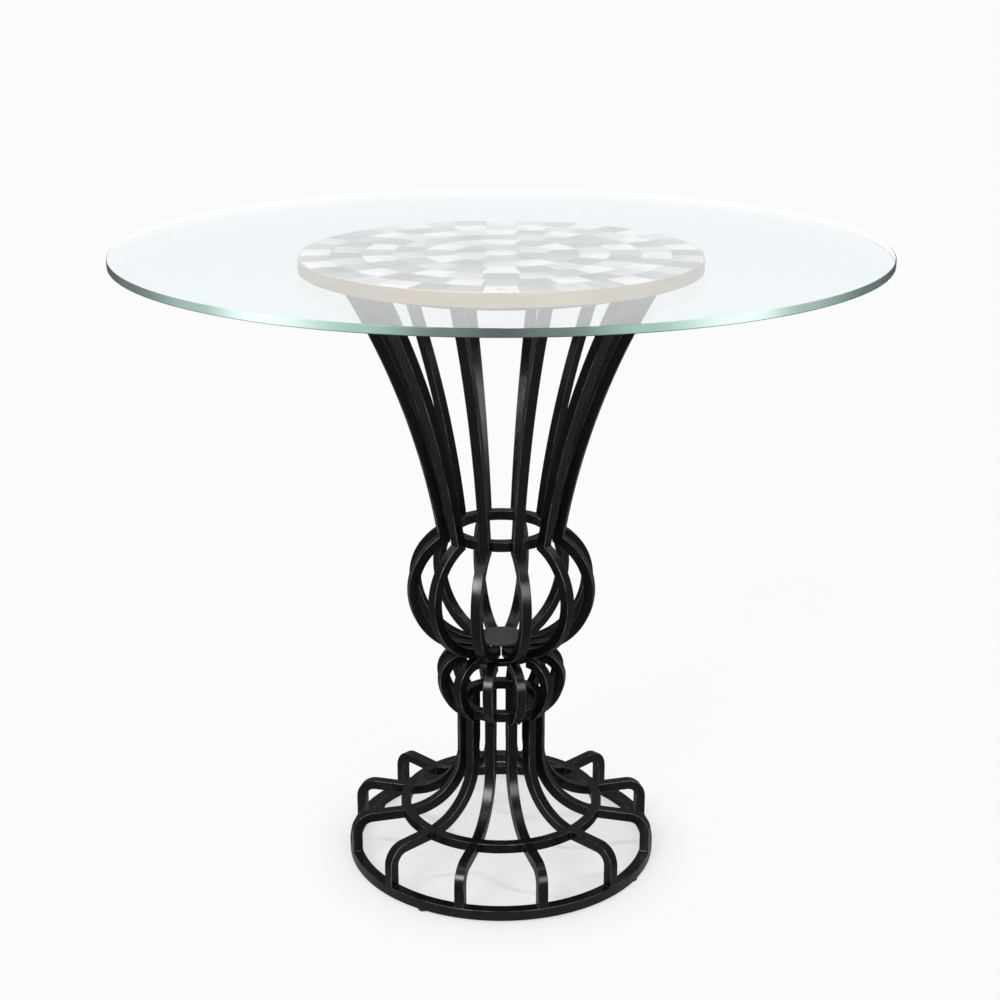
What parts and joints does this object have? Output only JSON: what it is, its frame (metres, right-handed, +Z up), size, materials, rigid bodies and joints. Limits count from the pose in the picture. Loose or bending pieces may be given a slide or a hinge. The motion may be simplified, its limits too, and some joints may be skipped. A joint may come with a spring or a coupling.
{
  "type": "accent table",
  "caption": "Round glass-topped accent table on an openwork black iron pedestal: flared bars over a round cage, a small bulb, a column and a ring foot.",
  "frame": {"origin": "on the floor, under the middle of the glass top", "axes": "+Z up along the axis of the pedestal; -Y is the side that faces the viewer of the picture; +X to the viewer's right"},
  "size_m": [0.8749, 0.875, 0.762],
  "materials": {
    "black_iron": "satin black, hand-rubbed",
    "glide_black": "matt",
    "screw_steel": "zinc plated",
    "disc_wood": "plain board",
    "inlay": "pale grey and white inlay, lacquered",
    "gilt_rim": "pale champagne, satin",
    "bumper_clear": "clear soft plastic",
    "table_glass": "clear with a green edge, flat polished"
  },
  "bodies": {
    "base": {"floor_ring": "black_iron", "foot_bars": "black_iron", "foot_ring": "black_iron", "column_ring": "black_iron", "bulb_bars": "black_iron", "waist_ring": "black_iron", "hub_plate": "black_iron", "collar_ring": "black_iron", "mounting_ring": "black_iron", "column_bar_01": "black_iron", "column_bar_02": "black_iron", "column_bar_03": "black_iron", "column_bar_04": "black_iron", "column_bar_05": "black_iron", "column_bar_06": "black_iron", "column_bar_07": "black_iron", "column_bar_08": "black_iron", "column_bar_09": "black_iron", "column_bar_10": "black_iron", "column_bar_11": "black_iron", "column_bar_12": "black_iron", "ball_bar_01": "black_iron", "ball_bar_02": "black_iron", "ball_bar_03": "black_iron", "ball_bar_04": "black_iron", "ball_bar_05": "black_iron", "ball_bar_06": "black_iron", "ball_bar_07": "black_iron", "ball_bar_08": "black_iron", "ball_bar_09": "black_iron", "ball_bar_10": "black_iron", "ball_bar_11": "black_iron", "ball_bar_12": "black_iron", "flare_bar_01": "black_iron", "flare_bar_02": "black_iron", "flare_bar_03": "black_iron", "flare_bar_04": "black_iron", "flare_bar_05": "black_iron", "flare_bar_06": "black_iron", "flare_bar_07": "black_iron", "flare_bar_08": "black_iron", "flare_bar_09": "black_iron", "flare_bar_10": "black_iron", "flare_bar_11": "black_iron", "flare_bar_12": "black_iron", "floor_glides": "glide_black", "disc_screws": "screw_steel", "disc_core": "disc_wood", "inlay_top": "inlay", "disc_rim": "gilt_rim", "glass_bumpers": "bumper_clear"},
    "glass": {"glass_top": "table_glass"}
  },
  "joints": [
    {"name": "glass_lift", "type": "slide", "parent": "base", "child": "glass", "axis": [0, 0, 1], "range_m": [0, 0.1]}
  ]
}
